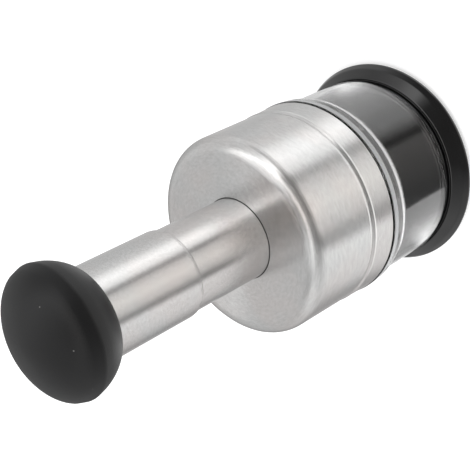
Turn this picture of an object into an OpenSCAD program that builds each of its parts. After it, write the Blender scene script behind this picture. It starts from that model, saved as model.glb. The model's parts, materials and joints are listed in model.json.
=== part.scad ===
// Hand vegetable chopper: a rubber-capped plunger slides over a fixed steel tube,
// drives a zigzag blade into the base cup and turns it a little on every stroke.
// Upright, +Z up, millimetres, z = 0 at the underside of the rubber foot ring.

/* [Whole] */
// Height of the whole chopper at rest, taken up by the length of the sleeve
overall_h = 225.5; // [212:0.5:242]

/* [Strokes] */
// Travel of the plunger
stroke = 38; // [25:0.5:45]
// Guide tube left between lip and housing at full stroke
lip_gap = 3; // [2:0.5:6]
// Turn of the blades over one full stroke
index_deg = 45; // [15:1:60]
// Turn that frees the guard from the housing
twist_deg = 34; // [30:1:40]

/* [Fits] */
// Gap between fixed pieces that seat in each other
fit_gap = 0.05; // [0.02:0.01:0.1]
// Gap at running shafts, on the radius
run_gap = 0.08; // [0.05:0.01:0.1]
// Gap between pieces that slide past each other
slide_gap = 0.3; // [0.2:0.05:0.4]
// Gap under the guard and over the seal, where one unit stands on the other
seat_gap = 0.1; // [0.05:0.01:0.2]
// Gap between the guide tube and the sleeve's bore
sleeve_gap = 0.25; // [0.2:0.05:0.4]
// Gap between the inner cup and the guard
cup_gap = 0.7; // [0.6:0.1:1]
// Gap between the blade carrier and the inner cup
carrier_gap = 1.9; // [1.5:0.1:2.5]
// Gap over the guard's neck, under the splash plate
plate_gap = 0.9; // [0.6:0.1:1.5]

/* [Base cup] */
// How far the foot rim stands out past the guard
rim_out = 5.45; // [4:0.05:8]
// Roundness of the rim
rim_round = 3.2; // [2.5:0.1:4]
// Height of the rim's underside above the ground
rim_lift = 0.4; // [0.2:0.1:0.8]
// How far the neck stands back from the guard's face
neck_back = 1.1; // [0.8:0.1:1.6]
// Height of the shoulder that the guard stands on
neck_top = 13.9; // [12.5:0.1:16]
// Height of the neck above the flare
neck_h = 2.9; // [1.5:0.1:4]
// Wall of the inner cup
cup_wall = 1.5; // [1.2:0.1:2]
// Height of the inner cup above its floor
cup_h = 45.8; // [36:0.1:50]
// Height of the cup's floor
floor_z = 3.2; // [2.8:0.1:4]
// Thickness of the cup's floor
floor_t = 1.6; // [1.2:0.1:2]
// Thickness of the chopping mat
mat_t = 1.6; // [1:0.1:2.5]
// Gap around the chopping mat
mat_gap = 1; // [0.8:0.1:2]
// Distance of the foot ring inside the rim's roundness
sole_back = 0.6; // [0.4:0.1:1.5]
// Width of the rubber foot ring's band
sole_w = 4; // [3:0.1:5]
// Thickness of the rubber foot ring
sole_t = 2.2; // [1.5:0.1:2.6]

/* [Clear guard] */
// Outer width of the guard's wall
guard_d = 91.8; // [80:0.1:105]
// Wall of the guard
guard_wall = 2; // [1.8:0.1:2.2]
// Height of the guard from its foot to the collar's top
guard_h = 44.1; // [38:0.1:50]
// Rounding at the guard's lower edge
guard_edge = 0.9; // [0.5:0.1:1.2]
// Step from the wall out to the collar
collar_step = 1.8; // [1.2:0.1:2.4]
// Further step of the collar from its corner to its top
collar_slope = 0.5; // [0.2:0.1:0.9]
// Height of the collar's straight band
collar_h = 5.3; // [4.5:0.1:5.8]
// Height of the curve between wall and collar
collar_sweep = 6.2; // [5:0.1:7]
// Step in from the wall to the neck that plugs into the housing
spigot_back = 2.5; // [2.2:0.1:3]
// Height of that neck
spigot_h = 7; // [6.4:0.1:7.6]
// Wall of that neck
spigot_wall = 1.8; // [1.5:0.1:2]

/* [Bayonet] */
// Number of lugs
lugs = 3; // [2:1:4]
// Width of a lug
lug_deg = 22; // [16:1:24]
// Reach of a lug from the neck
lug_reach = 1.3; // [1:0.1:1.4]
// Thickness of a lug
lug_t = 2; // [1.5:0.1:2.4]
// Thickness of the shelf under the lugs
shelf_t = 2; // [1.5:0.1:2.4]
// Width of the stops at the ends of the twist
stop_deg = 4; // [3:0.5:6]
// Play of the lugs in their entries and at their stops
lug_play = 0.5; // [0.3:0.1:1]

/* [Seals] */
// Height of the dark seal between housing and guard
seal_h = 0.8; // [0.5:0.1:1.2]
// How far that seal stands back from the skirt's edge
seal_back = 0.4; // [0.2:0.1:0.8]
// Width of the lip of the tube seal that shows in the housing
tube_seal_w = 0.5; // [0.3:0.1:0.8]
// Width and thickness of the tube seal's inner flange
tube_seal_flange = [2.4, 1.35];

/* [Steel housing] */
// Sheet thickness of the housing
bell_t = 0.9; // [0.7:0.1:1]
// How far the skirt's edge stands back from the collar
skirt_back = 0.3; // [0.1:0.1:0.6]
// Height of the skirt from its edge to the groove
skirt_h = 11.4; // [10:0.1:13]
// How far the skirt draws in over its height
skirt_taper = 0.55; // [0.2:0.05:0.8]
// Width of the rolled groove
groove_w = 3.2; // [2.4:0.1:4]
// Depth of the rolled groove
groove_in = 0.35; // [0.2:0.05:0.4]
// How far the wall above the groove stands back from the skirt
wall_back = 0.2; // [0.1:0.05:0.4]
// Height of the housing from the groove to its crown
bell_h = 37; // [32:0.5:44]
// How far the wall draws in up to the shoulder
wall_taper = 0.3; // [0.1:0.05:0.6]
// Radius of the shoulder
shoulder_r = 6.3; // [5:0.1:8]
// Drop of the dished top from the crown to the tube
dish = 1.6; // [0.8:0.1:2.4]

/* [Housing insides] */
// Thickness of the splash plate
plate_t = 2; // [1.6:0.1:2.6]
// Wall of the inner liner
liner_wall = 1.7; // [1.4:0.1:2.2]
// Gap between the liner's top and the start of the shoulder
liner_gap = 2.3; // [1:0.1:6]
// Height of the locating ring round the tube's foot
tube_ring_h = 4; // [2:0.5:8]
// Wall of that locating ring
tube_ring_wall = 1.6; // [1.2:0.1:2.4]
// Length of the shaft bush between splash plate and nut
bush_h = 24; // [18:1:26]
// Wall of the bush's nose
nose_wall = 3.3; // [2.5:0.1:4]
// Wall of the index nut outside the rod's corners
nut_wall = 4.6; // [3:0.1:5]
// Thickness of the index nut
nut_t = 6; // [4:0.1:7]
// Thickness of the nut's cover over the bush
cover_t = 1.4; // [1.2:0.1:2]
// Depth of the cover's nose in the bush
cover_in = 2; // [1.5:0.1:3]
// Thickness of the lower spring seat
seat_t = 0.8; // [0.6:0.1:1.2]
// Thickness of the rubber stop
bumper_t = 2.7; // [2:0.1:4]
// Number of the cover's screws
cover_screws_n = 3; // [2:1:4]
// Width of the cover screws' shanks
screw_d = 2.2; // [2:0.1:2.4]
// Width of the cover screws' heads
screw_head_d = 4.2; // [4:0.1:4.6]
// Length of the cover screws
screw_l = 9; // [6:0.5:12]

/* [Tubes] */
// Outer width of the fixed guide tube
tube_d = 38; // [34:0.1:42]
// Wall of the guide tube
tube_t = 0.8; // [0.6:0.1:0.9]
// Length of guide tube inside the sleeve at rest
tube_overlap = 5; // [3:0.5:5.5]
// Wall of the sliding sleeve
sleeve_t = 0.75; // [0.6:0.05:0.9]
// Height of the swaged lip at the sleeve's lower end
lip_h = 3.2; // [2:0.1:4]
// Wall of the lip at its edge
lip_t = 0.47; // [0.4:0.01:0.6]

/* [Knob] */
// How far the knob stands out past the sleeve
knob_out = 8.9; // [7:0.1:12]
// Height of the knob's underside
knob_under = 15; // [12:0.1:18]
// Height of the knob's dome
knob_dome = 16.1; // [12:0.1:20]
// Rubber beside the core's head
knob_wall = 5.4; // [4:0.1:7]
// Rubber over the core's head
knob_cap = 9.5; // [8:0.1:12]
// Height of the sleeve inside the knob
sleeve_in = 5.6; // [5:0.1:7]
// Chamfer round the core's head: width and height
core_chamfer = [7.5, 6];
// Depth of the core's plug in the sleeve
plug_h = 6; // [4:0.1:7]
// Wall of the core's guide skirt
core_wall = 2.3; // [1.6:0.1:2.6]
// Floor of the pocket over the plug
pocket_floor = 5; // [4:0.1:6]
// Width of the pocket over the rod's end
pocket_d = 16; // [14:0.1:18]
// Thickness of the pocket's lid
lid_t = 3; // [2:0.1:4]
// Step that the lid rests on
lid_step = 1.5; // [1:0.1:2]

/* [Rod and spring] */
// Width of the rod's lower journal
journal_d = 11.2; // [10:0.1:12.4]
// How far the square's corners stay inside the journal's radius
corner_in = 0.23; // [0.1:0.01:0.5]
// Turning part of the rod below and above the nut's travel
square_spare = 3; // [2:0.5:5]
// How far the upper stem stays inside the square's flats
stem_in = 0.05; // [0.02:0.01:0.2]
// How far the thrust collar stands out past the stem
thrust_out = 1.65; // [1.2:0.05:2.4]
// Height of the rod's thrust collar
thrust_h = 4; // [2:0.1:5]
// Gap between the thrust collar and the plug
thrust_gap = 0.2; // [0.1:0.05:0.4]
// Thickness of the thrust washer
washer_t = 1; // [0.8:0.1:1.4]
// Thickness of the rod's clip, and depth of its groove
clip_t = 1.1; // [0.8:0.1:1.4]
clip_in = 0.9; // [0.6:0.1:1.1]
// Reach of the clip past the stem
clip_out = 1.6; // [1.2:0.1:2]
// Length of rod over the clip
rod_end = 2.6; // [2:0.1:4]
// Wire of the return spring
wire_d = 1.8; // [1.2:0.1:2]
// Gap between the return spring and the guide skirt round it
coil_gap = 1.2; // [0.8:0.1:2]
// Turns of the return spring
coils = 12; // [8:1:14]

/* [Blades] */
// Height of the blade strip
blade_h = 15; // [12:0.5:17]
// Thickness of the blade strip
blade_t = 1; // [0.6:0.1:1.2]
// Height of the ground edge
bevel_h = 2.4; // [1.5:0.1:4]
// Distance of the blade's ends from the carrier's edge
blade_back = 1.6; // [1.4:0.1:4]
// Half width of the zigzag
blade_amp = 12; // [9:0.1:14]
// Gap between the edge and the mat at full stroke
blade_gap = 0.3; // [0.2:0.1:1]
// Depth of the blade's seat in the carrier
blade_seat = 1.5; // [1:0.1:2]
// Thickness of the blade carrier
carrier_t = 4; // [3:0.1:4.6]
// Wall of the carrier's hub
hub_wall = 4.4; // [3:0.1:6]
// Height of the carrier's hub
hub_h = 4; // [3:0.1:4.6]
// Floor of the hub between the blade's seat and the rod
hub_floor = 0.5; // [0.4:0.1:1]
// Width of the windows in the carrier
window_d = 14; // [10:0.5:15.5]
// Rim of the carrier outside the windows
window_rim = 3; // [2:0.1:5]
// Turn from one window to the next
window_step = 34; // [33:1:36]
// Width of the hub screw's head
hub_head_d = 7.2; // [6:0.1:8]
// Height of the hub screw's head
hub_head_h = 2.6; // [2:0.1:3]
// Width of the hub screw's shank
hub_screw_d = 4; // [3:0.1:4.4]
// Length of the hub screw inside the rod
hub_screw_in = 10; // [6:0.5:14]

/* [Hidden] */
$fn = 96;
eps = 0.01;

// Radii of the cup, the guard and the base, all from the guard's width
guard_r = guard_d / 2;
guard_in = guard_r - guard_wall;
cup_r = guard_in - cup_gap;
cup_in = cup_r - cup_wall;
rim_r = guard_r + rim_out;
rim_c = rim_r - rim_round;
neck_r = guard_r - neck_back;
sole_out = rim_c - sole_back;
sole_in = sole_out - sole_w;
collar_low_r = guard_r + collar_step;
collar_top_r = collar_low_r + collar_slope;
spigot_r = guard_r - spigot_back;
spigot_in = spigot_r - spigot_wall;
lug_r = spigot_r + lug_reach;
carrier_r = cup_in - carrier_gap;
blade_half = carrier_r - blade_back;

// Radii of the housing, from the collar
skirt_r = collar_top_r - skirt_back;
skirt_top_r = skirt_r - skirt_taper;
wall_r = skirt_top_r - wall_back;
wall_top_r = wall_r - wall_taper;
seal_r = skirt_r - seal_back;
liner_r = min(wall_top_r, wall_r - groove_in) - bell_t - fit_gap;
lock_r = skirt_top_r - bell_t - fit_gap;
lock_in = spigot_r + slide_gap;

// Radii of the tubes, the knob and what runs inside them, from the guide tube
tube_r = tube_d / 2;
tube_in = tube_r - tube_t;
sleeve_bore = tube_r + sleeve_gap;
sleeve_r = sleeve_bore + sleeve_t;
lip_bore = tube_r + run_gap;
lip_r = lip_bore + lip_t;
hole_r = tube_r + tube_seal_w;
bush_r = tube_in - fit_gap;
skirt_out = tube_in - slide_gap;
skirt_bore = skirt_out - core_wall;
coil_r = skirt_bore - coil_gap - wire_d / 2;
knob_r = sleeve_r + knob_out;
core_r = knob_r - knob_wall;
plug_r = sleeve_bore - fit_gap;
pocket_r = pocket_d / 2;

// Radii of the rod and its bearings, from the journal
journal_r = journal_d / 2;
corner_r = journal_r - corner_in;
square_w = corner_r * sqrt(2);
stem_r = square_w / 2 - stem_in;
thrust_r = stem_r + thrust_out;
bush_bore = journal_r + run_gap;
nose_r = bush_bore + nose_wall;
stem_bore = stem_r + run_gap;
nut_r = corner_r + nut_wall;
cover_bore = corner_r + 2 * slide_gap;
hub_r = journal_r + hub_wall;
hub_screw_r = hub_screw_d / 2;
screw_ring = (nut_r + bush_r) / 2;
screw_sink = (screw_head_d - screw_d) / 2;

// Heights of the base and the guard
cup_top = floor_z + cup_h;
mat_top = floor_z + mat_t;
guard_low = neck_top + seat_gap;
collar_top = guard_low + guard_h;
collar_corner = collar_top - collar_h;
sweep_low = collar_corner - collar_sweep;
spigot_top = collar_top + spigot_h;

// Heights of the blades at rest
blade_low = mat_top + blade_gap + stroke;
blade_top = blade_low + blade_h;
carrier_low = blade_top - blade_seat;
carrier_top = carrier_low + carrier_t;
hub_top = carrier_top + hub_h;
rod_low = carrier_low + blade_seat + hub_floor;

// Heights of the housing and its insides
seal_top = collar_top + seal_h;
skirt_low = seal_top + seat_gap;
groove_low = skirt_low + skirt_h;
wall_low = groove_low + groove_w;
crown_z = wall_low + bell_h;
hole_z = crown_z - dish;
shelf_low = skirt_low + 2 * seat_gap;
shelf_top = shelf_low + shelf_t;
lug_low = shelf_top + slide_gap;
plate_low = max(spigot_top + plate_gap, hub_top + slide_gap);
plate_top = plate_low + plate_t;
liner_top = crown_z - shoulder_r - liner_gap;
nose_low = hub_top + slide_gap;
nut_low = plate_top + bush_h;
nut_top = nut_low + nut_t;
bush_top = nut_top + cover_in;
cover_top = bush_top + cover_t;
seat_top = cover_top + seat_t;
bumper_top = seat_top + bumper_t;

// Heights of the plunger at rest
lip_low = hole_z + lip_gap + stroke;
tube_top = lip_low + tube_overlap;
core_low = bumper_top + slide_gap + stroke;
knob_top = overall_h;
knob_mid = knob_top - knob_dome;
knob_low = knob_mid - knob_under;
sleeve_top = knob_low + sleeve_in;
plug_low = sleeve_top - plug_h;
core_top = knob_top - knob_cap;
pocket_low = plug_low + pocket_floor;

// Heights of the rod at rest, and its turn for each millimetre
square_low = nut_low - square_spare;
square_top = nut_top + stroke + square_spare;
thrust_top = plug_low - thrust_gap;
clip_low = pocket_low + run_gap + washer_t + run_gap;
clip_slot = clip_t + fit_gap * 2;
rod_top = clip_low + clip_slot + rod_end;
twist_rate = index_deg / stroke;

// Points of an arc about (cx, cz), from a0 to a1 in n steps
function arc(cx, cz, r, a0, a1, n = 10) =
    [for (i = [0:n]) [cx + r * cos(a0 + (a1 - a0) * i / n), cz + r * sin(a0 + (a1 - a0) * i / n)]];

// Smooth S between two points, level in radius at both ends
function sweep_s(r0, z0, r1, z1, n = 12) =
    [for (i = [0:n]) [r0 + (r1 - r0) * (1 - cos(180 * i / n)) / 2, z0 + (z1 - z0) * i / n]];

module turned(pts) {
    rotate_extrude()
        polygon(pts);
}

module ring(r_out, r_in, z0, z1) {
    translate([0, 0, z0])
        difference() {
            cylinder(r = r_out, h = z1 - z0);
            translate([0, 0, -1])
                cylinder(r = r_in, h = z1 - z0 + 2);
        }
}

// Pie slice of the given width, centred on angle mid
module slice(mid, width, z0, z1) {
    reach = 2 * rim_r;
    rotate(mid)
        translate([0, 0, z0])
            linear_extrude(z1 - z0)
                polygon([[0, 0], [reach, -reach * tan(width / 2)], [reach, reach * tan(width / 2)]]);
}

// Base cup: rounded rim, flare, neck, inner cup wall and floor, in one moulding
module base_cup() {
    flare_z = neck_top - neck_h;
    outer = concat(
        arc(rim_c, rim_lift + rim_round, rim_round, -90, 54, 12),
        [[neck_r + 2.3, flare_z - 2.05], [neck_r + 0.95, flare_z - 1.1]],
        arc(neck_r + 0.9, flare_z + 0.05, 0.9, 230, 180, 4),
        [[neck_r, neck_top - 0.3], [neck_r - 0.3, neck_top], [cup_r, neck_top]],
        arc(cup_r - 0.6, cup_top - 0.6, 0.6, 0, 90, 4),
        arc(cup_in + 0.5, cup_top - 0.5, 0.5, 90, 180, 4),
        arc(cup_in - 0.8, floor_z + 0.8, 0.8, 0, -90, 4));
    color([0.05, 0.05, 0.055])
        difference() {
            turned(concat(outer, [[0, floor_z], [0, floor_z - floor_t],
                                  [sole_in - 2, floor_z - floor_t], [sole_in - 1.2, rim_lift]]));
            ring(sole_out, sole_in, rim_lift - 1, sole_t);
        }
}

module foot_ring() {
    color([0.12, 0.12, 0.12])
        turned([[sole_in + 0.4, 0], [sole_out - 0.4, 0], [sole_out, 0.4], [sole_out, sole_t],
                [sole_in, sole_t], [sole_in, 0.4]]);
}

module chopping_mat() {
    mat_r = cup_in - mat_gap;
    color([0.9, 0.9, 0.88])
        turned([[0, floor_z], [mat_r - 0.4, floor_z], [mat_r, floor_z + 0.4],
                [mat_r, mat_top - 0.3], [mat_r - 0.3, mat_top], [0, mat_top]]);
}

// Clear guard: wall, swept collar, and the neck with lugs that plugs into the housing
module clear_guard() {
    body = concat(
        [[guard_in, guard_low], [guard_r - guard_edge, guard_low]],
        arc(guard_r - guard_edge, guard_low + guard_edge, guard_edge, -90, 0, 5),
        sweep_s(guard_r, sweep_low, collar_low_r, collar_corner - 0.6, 12),
        [[collar_low_r + 0.1, collar_corner], [collar_top_r, collar_top - 0.4], [collar_top_r - 0.4, collar_top],
         [spigot_r, collar_top], [spigot_r, spigot_top - 0.4], [spigot_r - 0.4, spigot_top],
         [spigot_in, spigot_top], [spigot_in, cup_top + 3],
         [guard_in, cup_top + 1.5]]);
    color([0.85, 0.88, 0.9, 0.5])
        union() {
            turned(body);
            for (i = [0:lugs - 1])
                intersection() {
                    ring(lug_r, spigot_r - 0.5, lug_low, lug_low + lug_t);
                    slice(360 * i / lugs, lug_deg, lug_low, lug_low + lug_t);
                }
        }
}

module joint_seal() {
    color([0.06, 0.06, 0.06])
        ring(seal_r, spigot_r + fit_gap, collar_top, seal_top);
}

// Housing: one drawn sheet with skirt, rolled groove, wall, shoulder and dished top
function bell_side(t) = concat(
    [[skirt_r - t, skirt_low], [skirt_top_r - t, groove_low]],
    sweep_s(skirt_top_r - t, groove_low + 0.3, wall_r - groove_in - t, groove_low + groove_w / 2, 6),
    sweep_s(wall_r - groove_in - t, groove_low + groove_w / 2 + 0.1, wall_r - t, wall_low, 6));

module steel_housing() {
    cr = wall_top_r - shoulder_r;
    cz = crown_z - shoulder_r;
    slope = atan(dish / (cr - tube_r));
    hole_top = crown_z - tan(slope) * (cr - hole_r);
    inner = bell_side(bell_t);
    color([0.78, 0.77, 0.76])
        turned(concat(
            bell_side(0),
            arc(cr, cz, shoulder_r, 0, 90 + slope, 14),
            [[hole_r, hole_top], [hole_r, hole_top - bell_t]],
            arc(cr, cz, shoulder_r - bell_t, 90 + slope, 0, 14),
            [for (i = [len(inner) - 1:-1:0]) inner[i]]));
}

// Liner: splash plate, wall inside the housing and ring round the tube's foot
module bell_liner() {
    color([0.82, 0.82, 0.8])
        union() {
            ring(liner_r, nose_r + fit_gap, plate_low, plate_top);
            ring(liner_r, liner_r - liner_wall, plate_top - eps, liner_top);
            ring(tube_r + fit_gap + tube_ring_wall, tube_r + fit_gap, plate_top - eps, plate_top + tube_ring_h);
        }
}

// Lock ring: shelf with entries for the lugs, wall, and stops at both ends of the twist
module lock_ring() {
    wall_in = lug_r + slide_gap;
    stop_mid = (lug_deg + stop_deg) / 2 + lug_play;
    color([0.4, 0.41, 0.42])
        union() {
            ring(lock_r, wall_in, shelf_low, plate_low);
            difference() {
                ring(wall_in + 0.5, lock_in, shelf_low, shelf_top);
                for (i = [0:lugs - 1])
                    slice(360 * i / lugs - twist_deg, lug_deg + 6 * lug_play, shelf_low - 1, shelf_top + 1);
            }
            intersection() {
                ring(wall_in + 0.5, lock_in, shelf_low, plate_low);
                union() {
                    for (i = [0:lugs - 1]) {
                        slice(360 * i / lugs + stop_mid, stop_deg, shelf_low, plate_low);
                        slice(360 * i / lugs - twist_deg - stop_mid, stop_deg, shelf_top - 0.2, plate_low);
                    }
                }
            }
        }
}

// Fixed steel tube that the sleeve slides on
module guide_tube() {
    color([0.8, 0.79, 0.77])
        turned([[tube_in, plate_top], [tube_r, plate_top], [tube_r, tube_top - 0.3],
                [tube_r - 0.3, tube_top], [tube_in + 0.2, tube_top], [tube_in, tube_top - 0.2]]);
}

// Seal where the tube leaves the housing: a lip in the hole and a flange under the sheet
module tube_seal() {
    slope = dish / (wall_top_r - shoulder_r - tube_r);
    under = crown_z - slope * (wall_top_r - shoulder_r - hole_r) - bell_t;
    flange_r = hole_r + tube_seal_flange[0];
    color([0.06, 0.06, 0.06])
        turned([[tube_r, under - fit_gap - tube_seal_flange[1]],
                [flange_r, under - fit_gap - tube_seal_flange[1]], [flange_r, under - fit_gap],
                [hole_r - fit_gap, under - fit_gap], [hole_r - fit_gap, under + bell_t],
                [tube_r, under + bell_t + 0.15]]);
}

// Bush that carries the rod's journal, the index nut and the spring's lower end
module shaft_bush() {
    color([0.86, 0.86, 0.84])
        difference() {
            union() {
                translate([0, 0, plate_top])
                    cylinder(r = bush_r, h = bush_top - plate_top);
                translate([0, 0, nose_low])
                    cylinder(r = nose_r, h = plate_top - nose_low + 1);
            }
            translate([0, 0, nose_low - 1])
                cylinder(r = bush_bore, h = bush_top - nose_low + 2);
            translate([0, 0, nut_low])
                cylinder(r = nut_r + fit_gap, h = bush_top - nut_low + 1);
            screw_row(bush_top - screw_l, bush_top + 1, screw_d / 2 - fit_gap);
        }
}

// Places of the cover's screws
module screw_row(z0, z1, r) {
    for (i = [0:cover_screws_n - 1])
        rotate(360 * i / cover_screws_n + 30)
            translate([screw_ring, 0, z0])
                cylinder(r = r, h = z1 - z0, $fn = 32);
}

// Square bar about Z, turned with height so that it stays in step with the nut
module twisted_bar(w, z0, z1) {
    rotate(twist_rate * (z0 - nut_low))
        translate([0, 0, z0])
            linear_extrude(z1 - z0, twist = -twist_rate * (z1 - z0), slices = ceil((z1 - z0) / 1.6),
                           segments = 8)
                square([w, w], center = true);
}

module index_nut() {
    color([0.75, 0.62, 0.35])
        difference() {
            translate([0, 0, nut_low])
                cylinder(r = nut_r, h = nut_t);
            twisted_bar(square_w + 2 * slide_gap, nut_low - 1, nut_top + 1);
        }
}

// Cover over the nut, screwed into the bush
module nut_cover() {
    color([0.86, 0.86, 0.84])
        difference() {
            union() {
                ring(bush_r, cover_bore, bush_top, cover_top);
                ring(nut_r - fit_gap, cover_bore, nut_top + seat_gap, cover_top - 0.2);
            }
            screw_row(bush_top - 1, cover_top + 1, screw_d / 2 + fit_gap);
            for (i = [0:cover_screws_n - 1])
                rotate(360 * i / cover_screws_n + 30)
                    translate([screw_ring, 0, cover_top - screw_sink])
                        cylinder(r1 = screw_d / 2 + fit_gap, r2 = screw_head_d / 2 + fit_gap,
                                 h = screw_sink + eps, $fn = 32);
        }
}

module cover_screws() {
    color([0.7, 0.7, 0.7])
        for (i = [0:cover_screws_n - 1])
            rotate(360 * i / cover_screws_n + 30)
                translate([screw_ring, 0, 0])
                    difference() {
                        union() {
                            translate([0, 0, cover_top - screw_l])
                                cylinder(r = screw_d / 2 - fit_gap, h = screw_l - screw_sink, $fn = 32);
                            translate([0, 0, cover_top - screw_sink - eps])
                                cylinder(r1 = screw_d / 2 - fit_gap, r2 = screw_head_d / 2,
                                         h = screw_sink, $fn = 32);
                        }
                        translate([0, 0, cover_top])
                            cube([screw_head_d * 0.7, 0.6, 0.9], center = true);
                    }
}

module spring_seat() {
    color([0.72, 0.72, 0.72])
        ring(bush_r, coil_r - wire_d / 2 - 1, cover_top, seat_top);
}

module stop_bumper() {
    color([0.1, 0.1, 0.1])
        ring(bush_r, skirt_bore + 0.2, seat_top, bumper_top);
}

// Sleeve: sliding steel tube with its lower end swaged in over the guide tube
module press_sleeve() {
    color([0.8, 0.79, 0.77])
        turned(concat(
            [[lip_bore, lip_low + 0.1], [lip_bore + 0.1, lip_low], [lip_r - 0.2, lip_low],
             [lip_r, lip_low + 0.2]],
            sweep_s(lip_r + 0.05, lip_low + 0.5, sleeve_r, lip_low + lip_h, 8),
            [[sleeve_r, sleeve_top], [sleeve_bore, sleeve_top], [sleeve_bore, lip_low + lip_h],
             [lip_bore, lip_low + lip_h / 2]]));
}

// Hard core of the knob: head, plug in the sleeve, guide skirt inside the tube
module knob_core() {
    color([0.3, 0.3, 0.3])
        difference() {
            union() {
                turned([[0, plug_low], [plug_r, plug_low], [plug_r, sleeve_top], [core_r - 0.6, sleeve_top],
                        [core_r, sleeve_top + 0.6], [core_r, core_top - core_chamfer[1]],
                        [core_r - core_chamfer[0], core_top], [0, core_top]]);
                ring(skirt_out, skirt_bore, core_low, plug_low + 1);
            }
            translate([0, 0, plug_low - 1])
                cylinder(r = stem_bore, h = plug_h + 2);
            translate([0, 0, pocket_low])
                cylinder(r = pocket_r, h = core_top - pocket_low + 1);
            translate([0, 0, core_top - lid_t])
                cylinder(r = pocket_r + lid_step, h = lid_t + 1);
        }
}

// Radius of the knob's dome and of its underside at a share t of the quarter turn
function dome_pt(t) = [knob_r * pow(cos(t), 1.149), knob_mid + knob_dome * sin(t)];
function under_pt(t) = [sleeve_r + (knob_r - sleeve_r) * pow(cos(t), 1.265),
                        knob_mid - knob_under * pow(sin(t), 1.265)];

module knob_grip() {
    n = 16;
    color([0.13, 0.13, 0.13])
        turned(concat(
            [[sleeve_r, knob_low]],
            [for (i = [n - 1:-1:1]) under_pt(90 * i / n)],
            [for (i = [0:n - 1]) dome_pt(90 * i / n)],
            [[0, knob_top], [0, core_top], [core_r - core_chamfer[0], core_top],
             [core_r, core_top - core_chamfer[1]], [core_r, sleeve_top + 0.6],
             [core_r - 0.6, sleeve_top], [sleeve_r, sleeve_top]]));
}

module pocket_lid() {
    color([0.3, 0.3, 0.3])
        translate([0, 0, core_top - lid_t])
            cylinder(r = pocket_r + lid_step - fit_gap, h = lid_t);
}

// Return spring: one unbroken tube, eight rings a turn, straight ends square to their seats
spring_free = plug_low - seat_top;
spring_n = coils * 8;
spring_rise = (spring_free - 2 * wire_d) / spring_n;
spring_mid = [for (i = [0:spring_n]) [coil_r * cos(45 * i), coil_r * sin(45 * i),
                                      seat_top + wire_d + spring_rise * i]];

// Ring of six points about p: a across the coil, b along it
function wire_ring(p, phi, a, b) =
    [for (k = [0:5]) p + wire_d / 2 * (cos(60 * k) * a * [cos(phi), sin(phi), 0] + sin(60 * k) * b)];
function along(phi) = [-sin(phi), cos(phi), 0];

spring_pts = [for (r = concat(
    [wire_ring([coil_r, 0, seat_top], 0, 1, along(0))],
    [wire_ring(spring_mid[0], 0, 1, along(0) - [0, 0, 1])],
    [for (i = [1:spring_n - 1]) wire_ring(spring_mid[i], 45 * i, 1 / cos(22.5), [0, 0, -1])],
    [wire_ring(spring_mid[spring_n], 45 * spring_n, 1, along(45 * spring_n) - [0, 0, 1])],
    [wire_ring([coil_r * cos(45 * spring_n), coil_r * sin(45 * spring_n), plug_low],
               45 * spring_n, 1, along(45 * spring_n))])) each r];
spring_rings = spring_n + 3;
spring_faces = concat(
    [for (j = [0:spring_rings - 2], k = [0:5])
        let (a = 6 * j + k, b = 6 * j + (k + 1) % 6)
            each [[a, b, b + 6], [a, b + 6, a + 6]]],
    [for (k = [1:4]) [0, k + 1, k]],
    [for (k = [1:4]) [6 * (spring_rings - 1), 6 * (spring_rings - 1) + k, 6 * (spring_rings - 1) + k + 1]]);
spring_gap = min([for (i = [0:spring_n - 6], j = [i + 6:spring_n]) norm(spring_mid[i] - spring_mid[j])]) - wire_d;
echo(str("return spring: least gap to itself ", spring_gap, " mm"));

module return_spring() {
    color([0.75, 0.75, 0.76])
        polyhedron(points = spring_pts, faces = spring_faces);
}

// Rod: journal in the bush, twisted square in the nut, stem with collar in the knob
module drive_rod() {
    color([0.74, 0.74, 0.75])
        difference() {
            union() {
                translate([0, 0, rod_low])
                    cylinder(r = journal_r, h = square_low - rod_low);
                twisted_bar(square_w, square_low - 0.2, square_top + 0.2);
                translate([0, 0, square_top])
                    cylinder(r = stem_r, h = rod_top - square_top);
                translate([0, 0, thrust_top - thrust_h])
                    cylinder(r = thrust_r, h = thrust_h);
            }
            ring(stem_r + 1, stem_r - clip_in, clip_low, clip_low + clip_slot);
            translate([0, 0, rod_low - 1])
                cylinder(r = hub_screw_r - fit_gap, h = hub_screw_in + 2, $fn = 32);
        }
}

module thrust_washer() {
    color([0.7, 0.7, 0.7])
        ring(pocket_r - 1, stem_bore, pocket_low, pocket_low + washer_t);
}

// Open spring clip in the rod's groove
module rod_clip() {
    z = clip_low + fit_gap;
    color([0.6, 0.6, 0.6])
        difference() {
            ring(stem_r + clip_out, stem_r - clip_in + fit_gap, z, z + clip_t);
            slice(90, 70, z - 1, z + clip_t + 1);
        }
}

// Corner points of the zigzag, from one end to the other
zig = [[-blade_half, -0.55 * blade_amp], [-0.7 * blade_half, blade_amp], [-0.37 * blade_half, -blade_amp],
       [0, blade_amp], [0.37 * blade_half, -blade_amp], [0.7 * blade_half, blade_amp],
       [blade_half, -0.55 * blade_amp]];

function unit2(v) = v / norm(v);
function leg(i) = unit2(zig[i + 1] - zig[i]);
// Mitre at corner i for half a unit of thickness
function mitre(i) =
    let (last = len(zig) - 1,
         d0 = leg(max(i - 1, 0)),
         d1 = leg(min(i, last - 1)),
         n0 = [-d0[1], d0[0]],
         n1 = [-d1[1], d1[0]],
         m = unit2(n0 + n1))
    m / (m * n0);

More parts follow.
